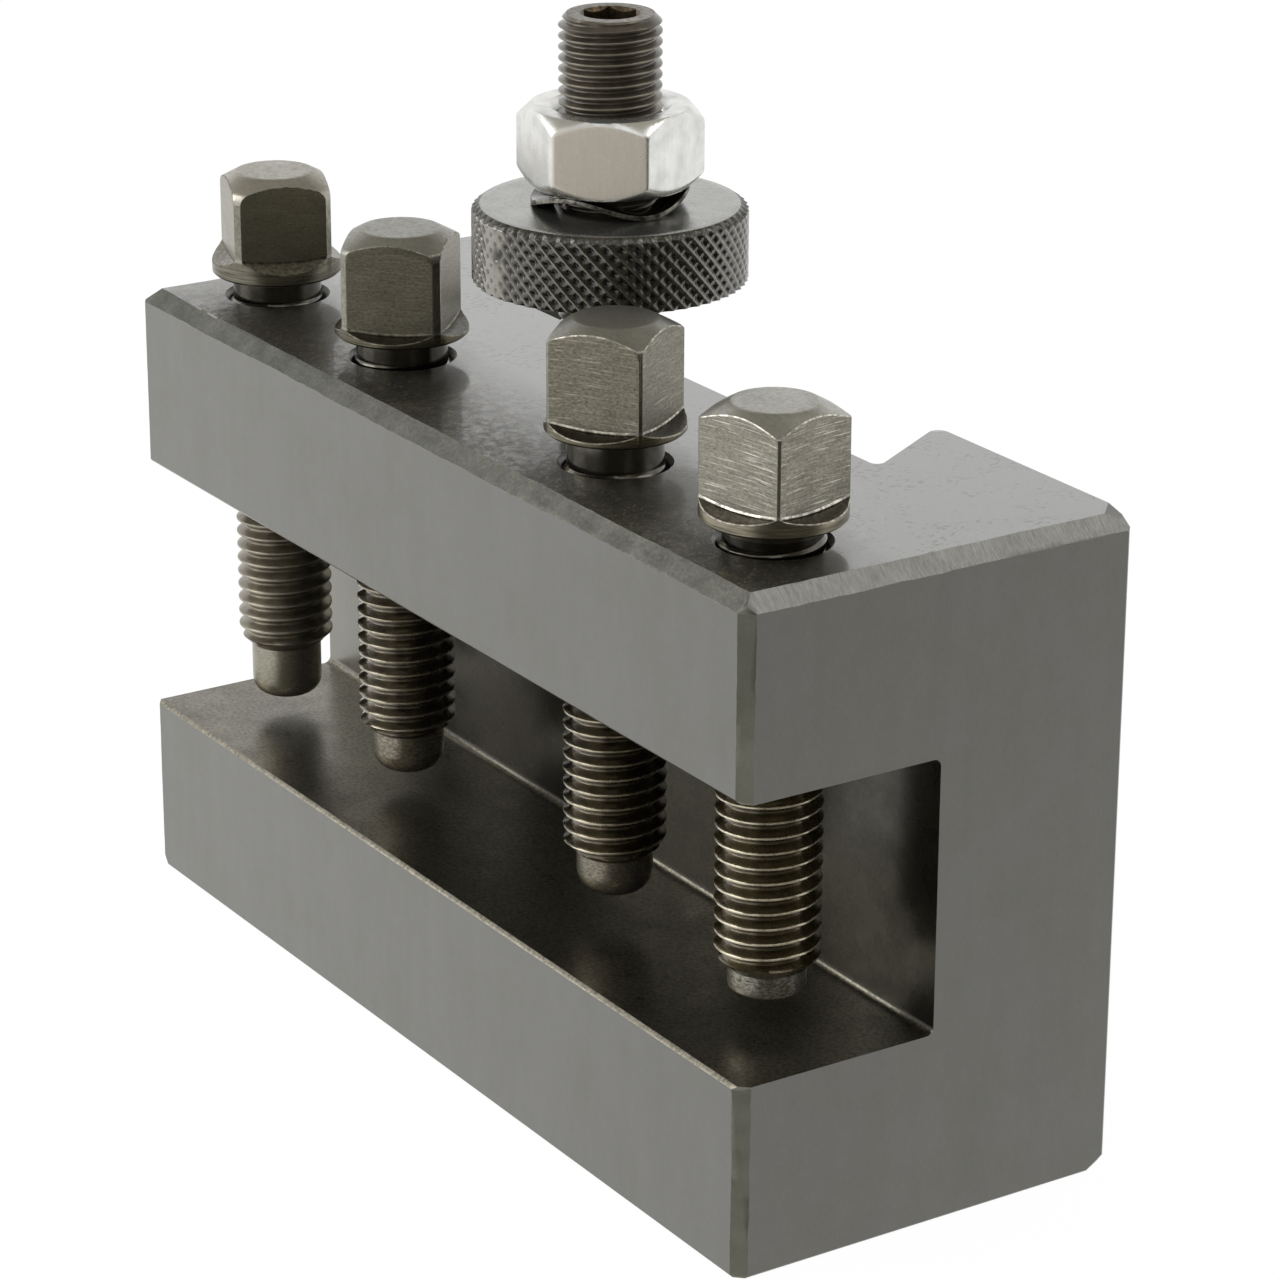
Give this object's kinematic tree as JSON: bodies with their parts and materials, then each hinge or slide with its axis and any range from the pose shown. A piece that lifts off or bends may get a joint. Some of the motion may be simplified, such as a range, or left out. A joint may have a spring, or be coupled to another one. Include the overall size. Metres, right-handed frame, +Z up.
{
  "type": "turning tool holder",
  "caption": "Quick-change lathe tool holder: a slotted steel block with a dovetail back, square-head clamp screws and a height stud with knurled collar and lock nut.",
  "frame": {"origin": "centre of the block's base", "axes": "+X along the tool, to the right seen from the open side of the slot; +Y from the slot to the dovetail; +Z up along the stud"},
  "size_m": [0.113, 0.0426, 0.1036],
  "materials": {
    "blackened_block": "black-oxide steel, milled and ground, oiled",
    "screw_steel": "blackened steel with bare milled flats, oiled thread",
    "stud_steel": "blackened thread, oiled",
    "collar_steel": "blackened, diamond knurl with bright points",
    "spring_steel": "blackened spring steel, oiled",
    "zinc_plate": "bright zinc plate, slightly stained"
  },
  "bodies": {
    "root": {"holder_body": "blackened_block", "height_stud": "stud_steel"},
    "screw_1": {"clamp_screw_1": "screw_steel"},
    "screw_2": {"clamp_screw_2": "screw_steel"},
    "screw_3": {"clamp_screw_3": "screw_steel"},
    "screw_4": {"clamp_screw_4": "screw_steel"},
    "collar": {"knurled_collar": "collar_steel", "wave_washer": "spring_steel"},
    "nut": {"lock_nut": "zinc_plate"}
  },
  "joints": [
    {"name": "screw_1_travel", "type": "slide", "parent": "root", "child": "screw_1", "axis": [0, 0, 1], "range_m": [-0.0015, 0.0258]},
    {"name": "screw_2_travel", "type": "slide", "parent": "root", "child": "screw_2", "axis": [0, 0, 1], "range_m": [-0.0021, 0.0252]},
    {"name": "screw_3_travel", "type": "slide", "parent": "root", "child": "screw_3", "axis": [0, 0, 1], "range_m": [-0.0031, 0.0242]},
    {"name": "screw_4_travel", "type": "slide", "parent": "root", "child": "screw_4", "axis": [0, 0, 1], "range_m": [-0.00215, 0.02425]},
    {"name": "collar_travel", "type": "slide", "parent": "root", "child": "collar", "axis": [0, 0, 1], "range_m": [-0.01145, 0.00435]},
    {"name": "nut_travel", "type": "slide", "parent": "collar", "child": "nut", "axis": [0, 0, 1], "range_m": [0, 0.00435]}
  ]
}
